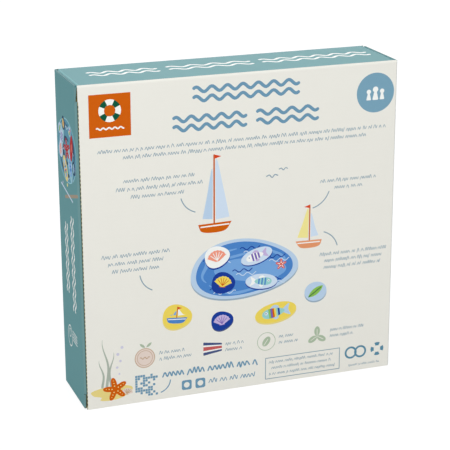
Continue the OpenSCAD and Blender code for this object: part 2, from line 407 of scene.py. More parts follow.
def water_line(ink, x0, x1, y, pitch, swing, width):
    """A wavy stroke: a sine of that pitch and swing."""
    x = np.linspace(x0 + width / 2, x1 - width / 2, max(8, int((x1 - x0) / pitch * 12)))
    wave = y + swing * np.sin(2 * math.pi * (x - x0) / pitch)
    return [(ink, ribbon(columns(x, wave), width))]


def title_line(ink, x0, x1, y, height, weight=0.17):
    """A line of a title as two wavy strokes, one over the other, that run along with each other."""
    pitch = (x1 - x0) / max(2, round((x1 - x0) / (height * 0.95)))
    waves = []
    for way in (-1, 1):
        waves += water_line(ink, x0, x1, y + way * height * 0.27, pitch, height * 0.15, height * weight)
    return waves


PRINT_RNG = np.random.default_rng(20)


def scrawl(x0, turns, y, height, pitch):
    """The middle of a short scrawl that stands for a printed word: a smooth curve through turning points
    that lie above and below y by turns, some of them further out than the rest."""
    chance = PRINT_RNG.random((turns, 2))
    up = np.arange(turns) % 2 * 2 - 1
    tall = np.where(up > 0, 0.5 + 0.35 * (chance[:, 0] > 0.72), 0.5 + 0.3 * (chance[:, 0] > 0.88))
    x = x0 + (np.arange(turns) + 0.5 * (chance[:, 1] - 0.5)) * pitch
    return smooth(columns(x, y + up * tall * height), 5)


def text_line(x0, x1, y, height=1.9, ink="text blue", weight=0.24):
    """A line of small print: scrawls of chance lengths with gaps between them."""
    pitch = height * 0.5
    marks, x = [], x0
    while x < x1 - 2 * pitch:
        turns = min(int(PRINT_RNG.integers(3, 14)), int((x1 - x) / pitch) + 1)
        if turns > 2:
            marks.append((ink, ribbon(scrawl(x, turns, y, height, pitch), height * weight, 1)))
        x += (turns + 0.7) * pitch
    return marks


def text_block(x, y, widths, gap, height=1.9, ink="text blue", centred=True):
    """Lines of small print of the given widths, one below the other from y, centred on x or from it."""
    marks = []
    for i, width in enumerate(widths):
        x0 = x - width / 2 if centred else x
        marks += text_line(x0, x0 + width, y - i * gap, height, ink)
    return marks


def leader(start, end, bow, width=0.8, ink="text blue"):
    """A thin line that leads from small print to the picture, bowed to its left by a share of its length:
    a quadratic curve from its start to its end."""
    start, end = np.array(start, float), np.array(end, float)
    along = end - start
    bend = (start + end) / 2 + np.array([-along[1], along[0]]) * bow
    t = np.linspace(0, 1, 16)[:, None]
    return [(ink, ribbon((1 - t) ** 2 * start + 2 * t * (1 - t) * bend + t * t * end, width))]


def fish_band(a, b, length, height):
    """The part of a fish between two places along it. The fish is an ellipse, fuller towards the head."""
    x = np.linspace(a, b, max(4, int(12 * (b - a) / length)))
    t = np.clip(x / length, -1, 1)
    y = height * np.sqrt(1 - t * t) * (1 - 0.25 * t)
    return np.concatenate([columns(x, -y), columns(x, y)[::-1]])


def fish(body, fin, bands):
    """A plain fish with its head to the left: tail and fins, a body, bands across it and an eye."""
    length, height = 10.0, 4.2
    fins = (
        [(7.5, 0), (14.5, 5.2), (13, 0), (14.5, -5.2)],
        [(-3, 3.2), (1, 6.6), (5, 5.2), (4, 2.4)],
        [(-1, -3.2), (1, -6.2), (4, -5), (3, -2.4)],
    )
    marks = [(fin, smooth(points, 4, closed=True)) for points in fins]
    marks.append((body, fish_band(-length, length, length, height)))
    marks += [(ink, fish_band(a, b, length, height * 0.97)) for ink, a, b in FISH_BANDS[bands]]
    marks += [("white", oval(-6.2, 0.9, 1.3, steps=12)), ("deep blue", oval(-6.4, 0.9, 0.6, steps=10))]
    return placed(marks, -2, 0)


def boat(hull, sail, jib, height):
    """A small sailing boat on the origin: hull with a band, mast and two curved sails."""
    hull_shape = smooth([(-11, 2.5), (-8.5, -2.6), (0, -3.8), (8, -2.6), (12, 3)], 5)
    main = smooth([(1.2, 5), (1.2, height), (6.5, height * 0.55), (10.5, 6)], 6)
    front = smooth([(-1.2, 5.5), (-1.2, height * 0.86), (-5, height * 0.45), (-8, 6.2)], 6)
    return [
        ("rust", ribbon([(0, 0), (0, height + 2.5)], 1.1)),
        (sail, main),
        (jib, front),
        (hull, hull_shape),
        ("white", ribbon([(-9, 0.7), (10, 1.1)], 0.9)),
        ("red", np.array([(0.3, height + 2.8), (5, height + 1.4), (0.3, height)])),
    ]


def shell(ink, rib, size=8.0):
    """A scallop: a fan with a frilled edge, ribs from its foot, and two small ears."""
    angle = np.radians(np.linspace(20, 160, 43))
    reach = size * (1 + 0.05 * np.abs(np.cos(angle * 9)))
    fan = around(angle, reach, reach) - (0, size * 0.35)
    foot = np.array([(-size * 0.16, -size * 0.5), (size * 0.16, -size * 0.5)])
    ear_x, ear_y = size * 0.42, -size * 0.55
    ears = outline((-ear_x, ear_y, 0.5), (ear_x, ear_y, 0.5), (0, -size * 0.1))
    marks = [(rib, ears), (ink, np.concatenate([fan, foot]))]
    for a in np.radians(np.arange(44, 140, 23)):
        tip = np.array([math.cos(a), math.sin(a)]) * size * 0.84 - (0, size * 0.35)
        marks.append((rib, ribbon([(0, -size * 0.38), tip], 0.55)))
    return marks


def star(ink, dot, size=7.0):
    """A five-armed sea star with a dot on each arm."""
    marks = [(ink, lobed(size * 0.72, size * 0.72, 5, 0.42, 60, -QUARTER * 5))]
    for k in range(5):
        a = math.radians(90 + 72 * k)
        for share, r in ((0.28, 0.5), (0.52, 0.42), (0.75, 0.3)):
            marks.append((dot, oval(size * share * math.cos(a), size * share * math.sin(a), r, steps=8)))
    return marks


def ball(*inks):
    """A beach ball: sectors of different inks with a white cap."""
    size, step = 6.5, 360 / len(inks)
    marks = [(ink, ring_part(0, 0, size, 0.3, i * step, (i + 1) * step, 10)) for i, ink in enumerate(inks)]
    return marks + [("white", oval(0, 0, size * 0.25, steps=16))]


def buoy(ink, block, inside, size):
    """A life ring with four blocks of another ink."""
    blocks = [(block, ring_part(0, 0, size, size * 0.5, 90 * k + 25, 90 * k + 65, 8)) for k in range(4)]
    return [(ink, oval(0, 0, size)), (inside, oval(0, 0, size * 0.5))] + blocks


def leaf(ink, rib, size=8.0):
    """A pointed leaf with its middle rib."""
    x = np.linspace(-1, 1, 14)
    edge = 0.36 * (1 - x * x)
    upper = columns(x, edge)[::-1][1:-1]
    shape = np.concatenate([columns(x, -edge), upper]) * size
    return [(ink, shape), (rib, ribbon([(-size * 0.9, 0), (size * 0.7, 0)], size * 0.09))]


def weed(x, y, height, sway, width):
    """A blade of sea grass: a swaying stroke that thins to its tip."""
    t = np.linspace(0, 1, 22)
    path = columns(x + sway * np.sin(5.2 * t) * (0.3 + t), y + height * t)
    return [("moss", ribbon(path, width * (1 - 0.9 * t**1.5), 3))]


def token(motif, backing, edge, shape):
    """A cut-out playing piece: its edge seen from above, its painted face, and a motif on it."""
    thickness = 1.3
    return [(edge, shape - (0, thickness)), (backing, shape)] + motif


FISH_BANDS = {
    "violet": [("violet", -3.5, -1.5), ("violet", 0, 2), ("violet", 3.5, 5.5)],
    "aqua": [("blue", -3.2, -1.6), ("blue", 0.4, 2), ("blue", 4, 5.6)],
    "striped": [
        ("green", -4, -2.4),
        ("violet", -2.4, -0.8),
        ("orange", -0.8, 0.8),
        ("yellow", 0.8, 2.4),
        ("aqua", 2.4, 4),
        ("deep blue", 4, 5.6),
    ],
}


def tokens():
    """The playing pieces that the pictures show, by a plain name."""
    long_shape, round_shape = lobed(17, 9, 2, 0.06), lobed(10.5, 9, 3, 0.05)
    sailing = placed(boat("blue", "white", "light blue", 12), 0, -3, size=0.8)
    leaning = placed(leaf("green", "forest"), 0, 0, 35)
    striped_ball = ball("red", "white", "blue", "yellow", "green", "violet")
    rows = {
        "violet fish": (fish("white", "lilac", "violet"), "sky", "deep blue", long_shape),
        "aqua fish": (fish("aqua", "white", "aqua"), "sky", "deep blue", long_shape),
        "striped fish": (fish("aqua", "pale blue", "striped"), "yellow", "sand", long_shape),
        "pink shell": (shell("pink", "white"), "white", "deep blue", round_shape),
        "yellow shell": (shell("yellow", "orange"), "deep blue", "deep blue", round_shape),
        "lilac shell": (shell("lilac", "violet"), "deep blue", "navy", round_shape),
        "blue boat": (sailing, "yellow", "sand", lobed(13, 11, 3, 0.05)),
        "green leaf": (leaning, "pale blue", "grey blue", lobed(9, 9, 2, 0.08)),
        "ball": (striped_ball, "sky", "grey blue", oval(0, 0, 9)),
    }
    return {name: token(*row) for name, row in rows.items()}


def picture(*rows):
    """Motifs and playing pieces, the latter by their names, each with its place as placed() takes it."""
    piece = tokens()
    return laid_out(*((piece[m] if isinstance(m, str) else m, *place) for m, *place in rows))


POOL_CURRENTS = (
    (100, 205, 0.74, 3.2), (215, 300, 0.78, 2.6),
    (-40, 60, 0.76, 3.0), (70, 150, 0.5, 2.2),
)
POOL_WAVES = (
    (-0.74, -0.3, 0.4), (-0.06, 0.32, 0.68),
    (0.22, 0.72, -0.46), (-0.62, -0.2, -0.6),
    (0.42, 0.8, 0.3), (-0.2, 0.18, -0.05),
)


def currents(ink, rows, rx, ry, swell=0.0, wide=1.0):
    """Strokes that run round a pool and thin to both ends. A row holds the angles that one runs between,
    its share of the pool's reach, and its width. Six swells go round the pool."""
    steps, marks = 24, []
    fade = np.sin(np.linspace(0.25, 2.9, steps))
    for a0, a1, share, width in rows:
        angle = np.radians(np.linspace(a0, a1, steps))
        reach = share * (1 + swell * np.sin(6 * angle))
        path = around(angle, rx * reach, ry * reach)
        marks.append((ink, ribbon(path, width * wide * fade)))
    return marks


def pool(rx, ry):
    """A pool of water about the origin: a pale rim, deep water with lighter currents, and wave lines."""
    rim = lobed(rx, ry, 3, 0.05, 90, 0.6)
    marks = [("grey blue", rim - (0, 1.4)), ("pale blue", rim), ("blue", rim * 0.9)]
    shallows = lobed(rx * 0.6, ry * 0.44, 2, 0.18, 60, 1.0)
    marks.append(("light blue", shallows + (rx * 0.14, -ry * 0.06)))
    marks += currents("light blue", POOL_CURRENTS, rx, ry, 0.04, rx / 45)
    pitch, swing, shift, drop = 7.5, 1.1, 3, 3.2
    for x0, x1, y in np.array(POOL_WAVES) * (rx, rx, ry):
        marks += water_line("deep blue", x0, x1, y, pitch, swing, 0.8)
        marks += water_line("sky", x0 + shift, x1 + shift, y - drop, pitch, swing, 0.6)
    return marks


def back_picture():
    """The picture on the back: a pool with playing pieces on and round it, two boats and two far birds."""
    wings = smooth([(-4.5, 1.2), (-2.2, 2), (0, 0), (2.2, 2), (4.5, 1.2)])
    far_wings = wings * 0.75 + (9, 5)
    birds = [("text blue", ribbon(wings, 0.8)), ("text blue", ribbon(far_wings, 0.7))]
    return picture(
        (boat("orange", "sky", "pale blue", 46), -22, 134, 0, 1.15),
        (boat("tan", "pale yellow", "sky", 30), 55, 112, 0, 0.95, True),
        (pool(43.3, 23.6), 1.0, 98.0),
        ("violet fish", 12, 107, 16, 0.72),
        ("pink shell", -20, 110, 8, 0.95),
        ("aqua fish", 16, 86, -6, 0.72, True),
        ("yellow shell", -15, 89, -12, 0.9),
        (star("red", "white", 4.5), 32, 98),
        ("striped fish", 28, 59, 8, 0.95),
        ("blue boat", -52, 66, -6, 0.9),
        ("lilac shell", -16, 58, 4, 0.85),
        ("green leaf", 61, 72, 0, 0.95),
        (birds, 24, 168),
    )


def corner_square(x, y, size):
    """The orange square at the upper left, with a plain life ring and a wave under it."""
    half = size / 2
    marks = [("orange", box(-half, -half * 1.05, half, half))]
    marks += placed(buoy("white", "forest", "orange", size * 0.27), 0, size * 0.1)
    wave_end, wave_y = size * 0.34, -size * 0.32
    marks += water_line("white", -wave_end, wave_end, wave_y, size * 0.14, size * 0.02, size * 0.035)
    return placed(marks, x, y)


def badge(x, y, r):
    """The round blue badge at the upper right, with three white game pawns."""
    marks = [("badge blue", oval(0, 0, r, steps=48))]
    for k, size in ((-1, 0.8), (1, 0.8), (0, 1.0)):
        foot = outline((-2.6, -5.4, 0.8), (2.6, -5.4, 0.8), (1.0, 1.5, 0.3), (-1.0, 1.5, 0.3))
        pawn = [("badge blue", ribbon([(0, -5.4), (0, 2.6)], 6.6))] if k == 0 else []
        pawn += [("white", foot), ("white", oval(0, 2.9, 2.3, steps=16))]
        marks += placed(pawn, 5.6 * k, -0.4 if k == 0 else -1.4, 0, size)
    return placed(marks, x, y, 0, r / 16)


def plain_leaf(long, wide, rib):
    """An oval leaf with a pale rib between two places along it."""
    return [("leaf", oval(0, 0, long, wide)), ("cream", ribbon([(x, 0) for x in rib], 0.5))]


def pebble_sign():
    """A peach pebble with two leaves and a ripple."""
    marks = [("bark", oval(0, 0, 8.0)), ("peach", oval(0, 0, 7.4))] + ring("bark", 0, 0, 6.2, 5.8)
    marks += water_line("bark", -4, 4, 0, 3.2, 0.7, 0.7)
    sprig = leaf("leaf", "moss", 2.8)
    return marks + laid_out((sprig, 3.4, 10.3, 40), (sprig, -1.8, 10.1, 140))


def pennant_sign():
    """A small striped pennant, which narrows to its fly."""
    x0, x1, h, narrow = -7.5, 7.5, 5.5, 0.6
    marks = []
    for ink, share, r in (("navy", 1.0, 0.5), ("white", 0.55, 0), ("dull red", 0.3, 0)):
        y0, y1 = h * share, h * share * narrow
        marks.append((ink, outline((x0, -y0, r), (x1, -y1, r), (x1, y1, r), (x0, y0, r))))
    return marks


def woven_patch(size, cells=9):
    """A square of small blue blocks laid by chance."""
    filled = np.random.default_rng(5).random((cells, cells)) < 0.56
    step = size / cells
    half = step * 0.45
    block = box(-half, -half, half, half, 0.2)
    return [("title blue", block + spot) for spot in (np.argwhere(filled) + 0.5) * step - size / 2]


def shore():
    """The lower left corner: a sea star on sand, with sea grass and bubbles."""
    seaward = [(-119, 14.4), (-118, 10.6), (-112, 8.6), (-112.5, 6.2), (-104, 5.2)]
    inland = [(-94, 7.2), (-87.5, 12), (-90.5, 15.6), (-104, 17)]
    marks = [("sand", smooth(seaward + inland, 6, closed=True))]
    blades = (-107.5, 38, 2.4, 2.2), (-104, 27, -2.0, 2.0), (-111, 22, 1.8, 1.9)
    for x, height, sway, width in blades:
        marks += weed(x, 17, height, sway, width)
    marks += placed(star("orange", "pale yellow", 9.5), -101, 14, 12)
    marks += placed(shell("peach", "bark", 4.5), -91.5, 10.5, -18)
    bubbles = ((-95.2, 47.2, 1.2), (-98.5, 42, 1.2), (-96.6, 36.4, 1), (-99.2, 31.4, 1), (-97.6, 26, 0.8))
    return marks + [("bubble", oval(x, z, r, steps=14)) for x, z, r in bubbles]


def lower_signs():
    """The rows of small signs and print along the back's lower edge."""
    leaf_ring = ring("leaf", 0, 0, 7.6, 7.1) + placed(plain_leaf(4.4, 2.7, (-3.4, 2.0)), 0, 0, 55)
    clover = []
    for turn in (90, 210, 330):
        middle = turned(np.array([4.3, 0]), turn)
        clover += placed(plain_leaf(4.0, 2.4, (-3.2, 1.6)), *middle, turn)
    signs = (pebble_sign(), -77.5, 36), (pennant_sign(), -23.5, 36.5), (leaf_ring, 20.5, 35.7)
    marks = laid_out(*signs, (clover, 63, 34.2))
    notes = (-66, 38.4, (22, 27)), (-13, 38.4, (17, 14)), (31, 38.4, (14, 16)), (74, 38.0, (29, 20))
    for x, y, widths in notes:
        marks += text_block(x, y, widths, 5.0, 1.8, centred=False)
    marks += placed(woven_patch(18), -76.5, 13.5)
    marks += leader((-65, 6), (-57.5, 15), -0.3, 0.9, "title blue")
    marks += text_line(-63.5, 13, 20.0, 3.4, "title blue", 0.33)
    for x in (-44.5, -33.5):
        marks.append(("title blue", box(x - 4, 5, x + 4, 13, 1.6)))
        marks.append(("cream", oval(x, 9, 2.3, steps=18)))
    marks += text_line(-26.5, 12.5, 9.4, 2.7, "title blue")
    border = (20, 4), (82.5, 4), (82.5, 21.5), (20, 21.5)
    marks += [("text blue", ribbon([border[k - 1], border[k]], 0.6, 2)) for k in (1, 2, 3, 0)]
    marks += text_block(51, 17.6, (56, 52, 56), 4.9, 1.6)
    marks += ring("slate", 92.2, 16.1, 5.2, 3.6) + ring("slate", 100.4, 16.1, 5.2, 3.6)
    marks += placed(buoy("slate", "cream", "cream", 5.6), 115, 16.3)
    return marks + text_block(104, 5.2, (27,), 3, 1.3)


# The back's print lies a little askew on its panel
BACK_SKEW = np.array([(1.0075, -0.0008), (0.0038, 1.0009)])
BACK_SHIFT = (-0.78, -0.35)


def back_marks():
    """All that is printed on the back panel, in X and Z."""
    marks = corner_square(-100.5, 227, 31)
    for x0, x1, y in ((-38.6, 45.5, 236.8), (-54, 4, 215.6), (10.7, 61.2, 215.6)):
        marks += title_line("title blue", x0, x1, y, 12.6, 0.2)
    marks += badge(107, 226.5, 15.7)
    marks += text_line(-110, 117.5, 199.8) + text_line(-91.5, 100, 194.2)
    notes = (
        (-64, 176.2, (55, 66, 44), 6.2, (-47.8, 158.7), (-37, 147.4), -0.25),
        (87, 160.6, (47, 24), 5.7, (70.5, 152.2), (57.6, 140.3), 0.25),
        (-83, 119.6, (52, 43, 37), 6.0, (-80.2, 102.3), (-71.1, 90.1), -0.25),
        (92, 101.6, (56, 48, 49), 5.4, (67.1, 120), (78.3, 108.1), 0.25),
    )
    for x, y, widths, gap, start, end, bow in notes:
        marks += text_block(x, y, widths, gap) + leader(start, end, bow)
    return marks + back_picture() + shore() + lower_signs()


def top_marks():
    """One line of white waves along the top, in X and Y."""
    spans = (-108, -54), (-47, 20), (27, 116)
    return [mark for x0, x1 in spans for mark in title_line("white", x0, x1, 2, 16)]


def front_marks():
    """The front panel, as seen from the front: a large pool with playing pieces, a title and boats."""
    marks = corner_square(-101, 226, 30) + badge(104, 226, 16)
    marks += title_line("white", -62, 62, 228, 17) + title_line("white", -76, 76, 203, 17)
    marks += picture(
        (pool(84, 74), 0, 96),
        ("violet fish", -36, 128, 14, 1.45),
        ("aqua fish", 28, 138, -10, 1.4),
        ("pink shell", -48, 88, 8, 1.6),
        ("striped fish", 40, 88, 6, 1.45),
        ("yellow shell", 4, 108, -8, 1.5),
        ("lilac shell", 0, 62, 6, 1.5),
        ("green leaf", -36, 54, 0, 1.4),
        ("ball", 38, 56, 0, 1.5),
        (boat("orange", "white", "pale blue", 46), -101, 40, 0, 1.3),
        (boat("tan", "pale yellow", "sky", 40), 103, 40, 0, 1.3, True),
    )
    return marks + text_block(0, 11.5, (96,), 6, 2.6, "white")


SMALL_POOL_SPOTS = (
    ("violet fish", -14, 8, 64, 0.7), ("aqua fish", 9, -9, 102, 0.72),
    ("pink shell", -18, -3, 80, 0.62), ("yellow shell", -8, 19, 100, 0.5),
    ("striped fish", -6, -15, 116, 0.56), ("lilac shell", 19, -9, 90, 0.5),
    ("green leaf", -19, 13, 20, 0.5), ("ball", 10, 17, 0, 0.44),
)
# How the pool's pieces and water look in the small print, beside the large one
SMALL_POOL_INKS = {
    "deep blue": "petrol", "sky": "mist", "white": "sky",
    "yellow": "sand", "lilac": "mist", "aqua": "light blue",
}
SMALL_CURRENTS = (
    (100, 190, 0.84, 4.4), (205, 330, 0.86, 4.0),
    (-20, 70, 0.84, 4.6), (60, 300, 0.42, 4.6),
)
SMALL_WAVES = (-22, -6, 1.5), (3, 20, 3.5), (-9, 7, -18.5), (5, 16.5, -14), (-9, 8, 19.5)


def small_pool():
    """The round pool on an end closure, about the origin: currents, swirls and crowded playing pieces."""
    marks = [("mist", oval(0, 0, 27.5, 24.4, steps=56))]
    marks.append(("lagoon", oval(0, 0, 26.6, 23.5, steps=56)))
    marks += currents("petrol", SMALL_CURRENTS, 25, 22.5)
    pitch, swing, drop = 5.5, 1.0, 1.9
    for x0, x1, y in SMALL_WAVES:
        marks += water_line("petrol", x0, x1, y, pitch, swing, 1.0)
        marks += water_line("sky", x0 + 1.5, x1 - 0.5, y - drop, pitch, swing, 0.7)
    marks += [(SMALL_POOL_INKS.get(ink, ink), shape) for ink, shape in picture(*SMALL_POOL_SPOTS)]
    marks.append(("crimson", oval(13.6, 5, 10.4, 4.0, 78, 24)))
    marks.append(("pink", oval(13.6, 5, 3.6, 0.9, 78, 16)))
    return marks + placed(star("crimson", "mist", 8.4), 0.0, 1.0, 12)


def closure_marks():
    """An end closure, in millimetres right of its middle and up: a small pool, oars, a title on end and
    small outlined shapes."""
    marks = placed(small_pool(), 0, 195)
    marks += [
        ("buff", ribbon([(-9, 157.4), (27, 167.4)], 2.5)),
        ("sky", ribbon([(-20.5, 165.3), (12.7, 159)], 1.3)),
        ("grey blue", oval(-15.4, 166.8, 2.6, 1.2, 20, 12)),
        ("pale yellow", oval(-1.7, 168.3, 1.4, 1.4, 0, 12)),
    ]
    marks += placed(title_line("white", -28, 28, 0, 9.8), -10, 109, 90)
    marks += placed(title_line("white", -38, 38, 0, 10.4), 8, 108.5, 90)
    loops = ring("white", 0, 0, 8.8, 7.9) + ring("white", 0, 2.6, 3.6, 2.8)
    marks += [(ink, shape * (0.74, 1) + (-9, 45.9)) for ink, shape in loops]
    hatch = (46.1, 48.4, 50.7, 53.0)
    return marks + [("white", ribbon([(-1, z - 0.8), (11.6, z - 1.6)], 0.8)) for z in hatch]


def on_sheet(marks, place):
    """Marks moved from a panel's own directions to the flat sheet."""
    return [(ink, place(np.asarray(shape, float))) for ink, shape in marks]


def flap_outline(sign):
    """A dust flap beyond its crease, with its tuck side at -Y, in distance past the crease and Y. Sign
    turns it round for the other end."""
    tuck_y = -HALF_D + 2 * BOARD + TUCK_PLAY + PASS_PLAY
    side_y = HALF_D - BOARD - SIDE_PLAY
    root = QUARTER_RUN - FOLD
    step = FLAP_STEP_H + root
    tip = FLAP_L + root + OVERCUT
    return outline(
        (0, side_y * sign),
        (0, -side_y * sign),
        (step - tuck_y - side_y, -side_y * sign, 1),
        (step, tuck_y * sign, 1),
        (tip, (tuck_y + FLAP_TAPER) * sign, FLAP_R),
        (tip, (side_y - FLAP_TAPER) * sign, FLAP_R),
    )


def sleeve_outlines():
    """The sleeve's flat outline, as the wrap, its four end strips and its four dust flaps, each with the
    ink that it is covered with, and the inks' edges."""
    over = OVERCUT
    shapes = [("teal", box(-CREASE_X, -over, CREASE_X, SLEEVE_END))]
    hinge_u = HINGE_X + HALF_FOLD_RUN
    raw_u = RAW_X + over
    back = (-over, SLEEVE_AT[1] + FOLD * STRIP_TURN)
    front = (SLEEVE_AT[4] - FOLD * STRIP_TURN, SLEEVE_AT[5] + FOLD * STRIP_TURN)
    for (v0, v1), left_u, right_u in ((back, raw_u, hinge_u), (front, hinge_u, raw_u)):
        for u in (-left_u, right_u):
            shapes.append(("teal", box(math.copysign(CREASE_X, u), v0, u, v1)))
    for side in (-1, 1):
        flap = flap_outline(-side)
        for middle, way in ((TOP_V, 1), (BOTTOM_V, -1)):
            place = columns(side * (CREASE_X + flap[:, 0]), middle + way * flap[:, 1])
            shapes.append(("paper", place))
    return shapes


def sleeve_creases():
    """The lines where the flat sheet bends, as pairs of ends: a line at each facet of each fold."""
    steps = np.linspace(0, QUARTER_RUN, FOLD_STEPS + 1)
    rows = [start + step for start in SLEEVE_AT[1::2] for step in steps]
    lines = [((-HALF_W - 5, v), (HALF_W + 5, v)) for v in rows]
    eighth = steps[: FOLD_STEPS // 2 + 1]
    upright = [(side * CREASE_X, side * steps, *span) for side in (-1, 1) for span in FLAP_SPANS]
    upright.append((HINGE_X, eighth, -1, SLEEVE_AT[2]))
    upright.append((-HINGE_X, -eighth, SLEEVE_AT[3], SLEEVE_AT[6]))
    for start, way, v0, v1 in upright:
        lines += [((start + step, v0), (start + step, v1)) for step in way]
    return lines


def raw_edge_marks():
    """The strip of bared board beside a panel's raw edge, pressed flat by the cut, with a spot of painted
    shade at each flute's mouth that narrows away from the edge. The panel's raw edge is at its left end."""
    wide, low, high = 0.38, 1.0, HIGH - SHOULDER_H
    half0, half1 = 1.1, 0.9
    x0, x1 = -RAW_X - 1, -RAW_X + wide
    marks = [("bared board", box(x0, low, x1, high))]
    first = MOUTH_MARGIN + (HIGH - 2 * MOUTH_MARGIN - FLUTES * FLUTE) / 2 + FLUTE / 4
    for z in first + np.arange(FLUTES) * FLUTE:
        if low + 1 < z < high - 1:
            spot = outline((x0, z - half0), (x1, z - half1), (x1, z + half1), (x0, z + half0))
            marks.append(("flute shadow", spot))
    return marks


def sleeve_marks():
    """The whole sleeve's print on its flat sheet: the cream back first, then each panel's marks."""
    # The cream ends on the top's fold, and a paler teal band lies on each flap's fold as painted highlight
    past, bleed = HALF_W + 5, CREASE_X + 5
    marks = [("cream", box(-past, -1, past, SLEEVE_AT[1] + QUARTER_RUN * 0.8))]
    for side in (-1, 1):
        for v0, v1 in FLAP_SPANS:
            marks.append(("teal", box(side * CREASE_X, v0, side * bleed, v1)))
            highlight_from, highlight_to = side * (CREASE_X + 0.3), side * (CREASE_X + QUARTER_RUN)
            marks.append(("highlight teal", box(highlight_from, v0, highlight_to, v1)))
    marks += on_sheet(back_marks(), lambda p: p @ BACK_SKEW + BACK_SHIFT)
    marks += raw_edge_marks()
    marks += on_sheet(top_marks(), lambda p: p + (0, TOP_V))
    return marks + on_sheet(front_marks() + raw_edge_marks(), lambda p: p * (-1, -1) + (0, FRONT_V))


def mirrored(*corners):
    """Corners (x, z, radius) of a lower half, then those of the upper half from the other end."""
    return outline(*corners, *((x, HIGH - z, r) for x, z, r in corners[::-1]))


def closure_outlines():
    """The closure's flat outline: the panel with its rounded shoulders, the tuck, and the strips that are
    rolled over the panel's upper and lower edge."""
    low, high = END_PLAY, HIGH - END_PLAY
    panel = mirrored(
        (0, low, 0),
        (SHOULDER_END, low, SHOULDER_R),
        (SHOULDER_END, SHOULDER_CUT, 0),
        (PANEL_END, SHOULDER_CUT, 0),
    )
    tuck = mirrored((-HALF_W + FOLD, SHOULDER_H, 0), (-HALF_W + TUCK_REACH, SHOULDER_H, TUCK_R))
    # A place along X on the curl is an angle about the hinge's axis
    angle = np.arcsin((tuck[:, 0] - AXIS_X) / CURL_R)
    tuck_s = CLOSURE_AT[3] + CURL_R * (angle - CURL_FROM)
    tuck_s = np.where(tuck_s < CLOSURE_AT[3] + 1, PANEL_END, tuck_s)
    shapes = [("teal", panel), ("teal", columns(tuck_s, tuck[:, 1]))]
    rolled = ROLL * QUARTER + ROLL_REACH - ROLL
    # The strips rolled over the upper and lower edges are painted a darker teal as shade
    for z0, z1 in ((low - rolled, low), (high, high + rolled)):
        shapes.append(("shaded teal", box(0, z0, SHOULDER_END - SHOULDER_R, z1)))
    # Over a shoulder's end the liner is pressed in a wedge, which is widest at the carton's upper corner,
    # and is painted a darker teal as shade
    upper_end = (HIGH - SHOULDER_CUT, 0.5, high - SHOULDER_R, rolled)
    lower_end = (SHOULDER_CUT, 1.15, low + SHOULDER_R, 0.85)
    for z0, lap0, z1, lap1 in (upper_end, lower_end):
        s0, s1 = SHOULDER_END + lap0, SHOULDER_END + lap1
        wedge = outline((SHOULDER_END, z0), (s0, z0), (s1, z1), (SHOULDER_END, z1))
        shapes.append(("shaded teal", wedge))
    return shapes


def closure_creases():
    """The lines where a closure's flat sheet bends."""
    steps = [
        *np.linspace(0, HALF_FOLD_RUN, FOLD_STEPS // 2 + 1),
        *np.linspace(PANEL_END, CLOSURE_AT[3], FOLD_STEPS + 1),
        *np.linspace(CLOSURE_AT[3], CLOSURE_AT[3] + CURL_RUN, FOLD_STEPS + 1),
    ]
    lines = [((s, -3), (s, HIGH + 3)) for s in steps]
    for step in np.linspace(0, ROLL * QUARTER, ROLL_STEPS + 1):
        for z in (END_PLAY - step, HIGH - END_PLAY + step):
            lines.append(((0, z), (SHOULDER_END - SHOULDER_R, z)))
        s = SHOULDER_END + step
        lines += [((s, END_PLAY), (s, SHOULDER_CUT)), ((s, HIGH - SHOULDER_CUT), (s, HIGH - END_PLAY))]
    return lines


def closure_sheet_marks():
    """A closure's print on its flat sheet, with a lighter teal painted over the tuck's fold as sheen."""
    middle = HALF_FOLD_RUN + HALF_D - FOLD
    # Painted sheen: a lighter teal over the tuck's fold
    bend = [("sheen teal", box(PANEL_END, 0, CLOSURE_AT[3], HIGH))]
    return bend + on_sheet(closure_marks(), lambda p: p + (middle, 0))


def winding(points, shape):
    """How many times a closed shape runs round each point: its edges that pass the point's level upwards on
    the right of it, less those that pass downwards."""
    x, y = points[:, :1], points[:, 1:]
    ax, ay = shape.T
    bx, by = np.roll(shape, -1, 0).T
    left = (bx - ax) * (y - ay) - (x - ax) * (by - ay)
    up = (ay <= y) & (by > y) & (left > 0)
    down = (ay > y) & (by <= y) & (left < 0)
    return up.sum(1) - down.sum(1)


def last_over(points, shapes):
    """The number of the last shape that lies over each point, or -1."""
    found = np.full(len(points), -1)
    for i, shape in enumerate(shapes):
        low, high = shape.min(0), shape.max(0)
        near = np.flatnonzero(((points > low) & (points < high)).all(1))
        if len(near):
            found[near[winding(points[near], shape) != 0]] = i
    return found


def cut_flat(outlines, creases, marks):
    """Cuts a flat sheet into triangles along every outline, crease and mark. Returns the points, the
    triangles inside the outlines, and each triangle's ink, which is that of the last shape over it."""
    shapes = [shape for _, shape in outlines + marks]
    edges, count = [], 0
    for shape in shapes:
        n = len(shape)
        edges += [(count + i, count + (i + 1) % n) for i in range(n)]
        count += n
    edges += [(count + 2 * i, count + 2 * i + 1) for i in range(len(creases))]
    points = np.concatenate(shapes + [np.array(creases, float).reshape(-1, 2)])
    cut = delaunay_2d_cdt([Vector(p) for p in points], edges, [], 0, SAME_POINT, False)
    flat, corners = np.array([p[:] for p in cut[0]]), np.array(cut[2])
    middle = flat[corners].mean(1)
    kept = last_over(middle, shapes[: len(outlines)]) >= 0
    corners, middle = corners[kept], middle[kept]
    inks = np.array([linear(INKS[ink]) for ink, _ in outlines + marks])
    used, corners = np.unique(corners, return_inverse=True)
    return flat[used], corners.reshape(-1, 3), inks[last_over(middle, shapes)]


def rim_edges(corners):
    """The directed edges that only one triangle has, and the number of that triangle."""
    edges = np.concatenate([corners[:, [0, 1]], corners[:, [1, 2]], corners[:, [2, 0]]])
    size = corners.max() + 1
    forward = edges[:, 0] * size + edges[:, 1]
    backward = edges[:, 1] * size + edges[:, 0]
    alone = np.flatnonzero(~np.isin(forward, backward))
    return edges[alone], alone % len(corners)


